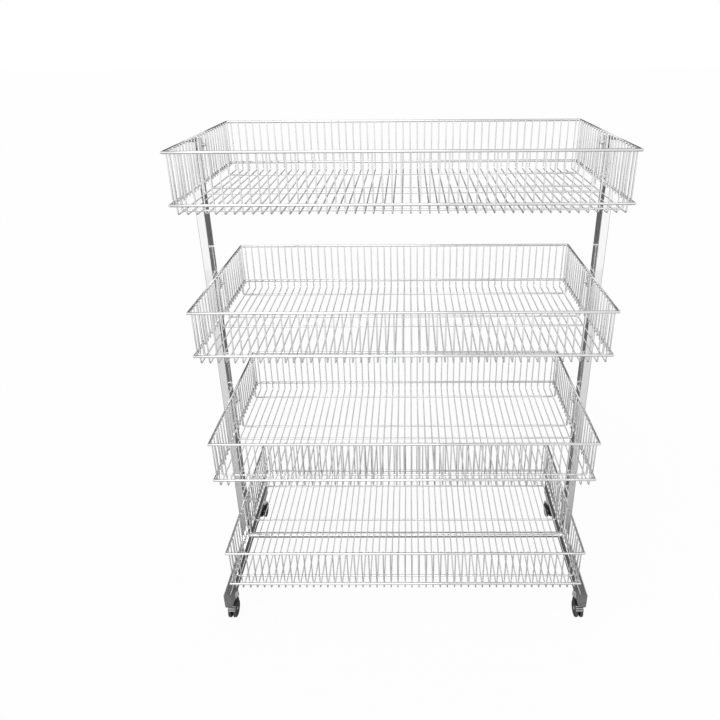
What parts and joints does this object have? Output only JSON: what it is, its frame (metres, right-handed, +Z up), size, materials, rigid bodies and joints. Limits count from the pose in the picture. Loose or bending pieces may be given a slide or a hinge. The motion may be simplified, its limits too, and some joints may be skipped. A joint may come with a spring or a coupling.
{
  "type": "tiered display stand",
  "caption": "Free-standing shop display stand with wire baskets hung one above another between two tube uprights, on foot rails with twin-wheel castors.",
  "frame": {"origin": "on the floor under the middle of the stand", "axes": "+X to the right across the baskets, +Y to the back, +Z up; the front faces -Y"},
  "size_m": [0.99, 0.45, 1.3],
  "materials": {
    "polished_chrome": "polished",
    "wire_chrome": "bright plated wire",
    "cap_plastic": "moulded",
    "zinc_steel": "bright zinc",
    "castor_plastic": "moulded, lightly grained",
    "wheel_plastic": "moulded nylon",
    "spacer_nylon": "moulded nylon"
  },
  "bodies": {
    "frame": {"left_foot_rail": "polished_chrome", "left_upright": "polished_chrome", "left_upright_cap": "cap_plastic", "left_upright_insert": "zinc_steel", "front_left_rail_cap": "cap_plastic", "rear_left_rail_cap": "cap_plastic", "right_foot_rail": "polished_chrome", "right_upright": "polished_chrome", "right_upright_cap": "cap_plastic", "right_upright_insert": "zinc_steel", "front_right_rail_cap": "cap_plastic", "rear_right_rail_cap": "cap_plastic", "base_cross_tube": "polished_chrome", "cross_tube_plugs": "zinc_steel", "cross_tube_bolts": "zinc_steel", "foot_bolts": "zinc_steel", "pivot_bolts": "zinc_steel", "pivot_nuts": "zinc_steel", "castor_stems": "zinc_steel", "castor_stem_nuts": "zinc_steel", "pivot_spacers": "spacer_nylon"},
    "top_basket": {"top_basket_front_wall": "wire_chrome", "top_basket_back_wall": "wire_chrome", "top_basket_left_wall": "wire_chrome", "top_basket_right_wall": "wire_chrome", "top_basket_floor": "wire_chrome"},
    "upper_basket": {"upper_basket_front_wall": "wire_chrome", "upper_basket_back_wall": "wire_chrome", "upper_basket_left_wall": "wire_chrome", "upper_basket_right_wall": "wire_chrome", "upper_basket_floor": "wire_chrome"},
    "lower_basket": {"lower_basket_front_wall": "wire_chrome", "lower_basket_back_wall": "wire_chrome", "lower_basket_left_wall": "wire_chrome", "lower_basket_right_wall": "wire_chrome", "lower_basket_floor": "wire_chrome"},
    "bottom_basket": {"bottom_basket_front_wall": "wire_chrome", "bottom_basket_back_wall": "wire_chrome", "bottom_basket_left_wall": "wire_chrome", "bottom_basket_right_wall": "wire_chrome", "bottom_basket_floor": "wire_chrome"},
    "front_left_castor": {"front_left_castor_housing": "castor_plastic", "front_left_castor_axle": "zinc_steel"},
    "front_left_castor_left_wheel": {"front_left_castor_left_wheel": "wheel_plastic"},
    "front_left_castor_right_wheel": {"front_left_castor_right_wheel": "wheel_plastic"},
    "front_right_castor": {"front_right_castor_housing": "castor_plastic", "front_right_castor_axle": "zinc_steel"},
    "front_right_castor_left_wheel": {"front_right_castor_left_wheel": "wheel_plastic"},
    "front_right_castor_right_wheel": {"front_right_castor_right_wheel": "wheel_plastic"},
    "rear_left_castor": {"rear_left_castor_housing": "castor_plastic", "rear_left_castor_axle": "zinc_steel"},
    "rear_left_castor_left_wheel": {"rear_left_castor_left_wheel": "wheel_plastic"},
    "rear_left_castor_right_wheel": {"rear_left_castor_right_wheel": "wheel_plastic"},
    "rear_right_castor": {"rear_right_castor_housing": "castor_plastic", "rear_right_castor_axle": "zinc_steel"},
    "rear_right_castor_left_wheel": {"rear_right_castor_left_wheel": "wheel_plastic"},
    "rear_right_castor_right_wheel": {"rear_right_castor_right_wheel": "wheel_plastic"}
  },
  "joints": [
    {"name": "top_basket_tilt", "type": "hinge", "parent": "frame", "child": "top_basket", "pos_m": [0, 0, 1.275], "axis": [1, 0, 0], "range_deg": [-15, 15]},
    {"name": "upper_basket_tilt", "type": "hinge", "parent": "frame", "child": "upper_basket", "pos_m": [0, 0, 0.93], "axis": [1, 0, 0], "range_deg": [-15, 15]},
    {"name": "lower_basket_tilt", "type": "hinge", "parent": "frame", "child": "lower_basket", "pos_m": [0, 0, 0.585], "axis": [1, 0, 0], "range_deg": [-15, 15]},
    {"name": "bottom_basket_tilt", "type": "hinge", "parent": "frame", "child": "bottom_basket", "pos_m": [0, 0, 0.24], "axis": [1, 0, 0], "range_deg": [-15, 15]},
    {"name": "front_left_castor_swivel", "type": "hinge", "parent": "frame", "child": "front_left_castor", "pos_m": [-0.48, -0.176, 0.065], "axis": [0, 0, 1], "continuous": true},
    {"name": "front_left_castor_left_wheel_roll", "type": "hinge", "parent": "front_left_castor", "child": "front_left_castor_left_wheel", "pos_m": [-0.48, -0.187, 0.0225], "axis": [1, 0, 0], "continuous": true},
    {"name": "front_left_castor_right_wheel_roll", "type": "hinge", "parent": "front_left_castor", "child": "front_left_castor_right_wheel", "pos_m": [-0.48, -0.187, 0.0225], "axis": [1, 0, 0], "continuous": true},
    {"name": "front_right_castor_swivel", "type": "hinge", "parent": "frame", "child": "front_right_castor", "pos_m": [0.48, -0.176, 0.065], "axis": [0, 0, 1], "continuous": true},
    {"name": "front_right_castor_left_wheel_roll", "type": "hinge", "parent": "front_right_castor", "child": "front_right_castor_left_wheel", "pos_m": [0.48, -0.187, 0.0225], "axis": [1, 0, 0], "continuous": true},
    {"name": "front_right_castor_right_wheel_roll", "type": "hinge", "parent": "front_right_castor", "child": "front_right_castor_right_wheel", "pos_m": [0.48, -0.187, 0.0225], "axis": [1, 0, 0], "continuous": true},
    {"name": "rear_left_castor_swivel", "type": "hinge", "parent": "frame", "child": "rear_left_castor", "pos_m": [-0.48, 0.176, 0.065], "axis": [0, 0, 1], "continuous": true},
    {"name": "rear_left_castor_left_wheel_roll", "type": "hinge", "parent": "rear_left_castor", "child": "rear_left_castor_left_wheel", "pos_m": [-0.48, 0.187, 0.0225], "axis": [1, 0, 0], "continuous": true},
    {"name": "rear_left_castor_right_wheel_roll", "type": "hinge", "parent": "rear_left_castor", "child": "rear_left_castor_right_wheel", "pos_m": [-0.48, 0.187, 0.0225], "axis": [1, 0, 0], "continuous": true},
    {"name": "rear_right_castor_swivel", "type": "hinge", "parent": "frame", "child": "rear_right_castor", "pos_m": [0.48, 0.176, 0.065], "axis": [0, 0, 1], "continuous": true},
    {"name": "rear_right_castor_left_wheel_roll", "type": "hinge", "parent": "rear_right_castor", "child": "rear_right_castor_left_wheel", "pos_m": [0.48, 0.187, 0.0225], "axis": [1, 0, 0], "continuous": true},
    {"name": "rear_right_castor_right_wheel_roll", "type": "hinge", "parent": "rear_right_castor", "child": "rear_right_castor_right_wheel", "pos_m": [0.48, 0.187, 0.0225], "axis": [1, 0, 0], "continuous": true}
  ]
}
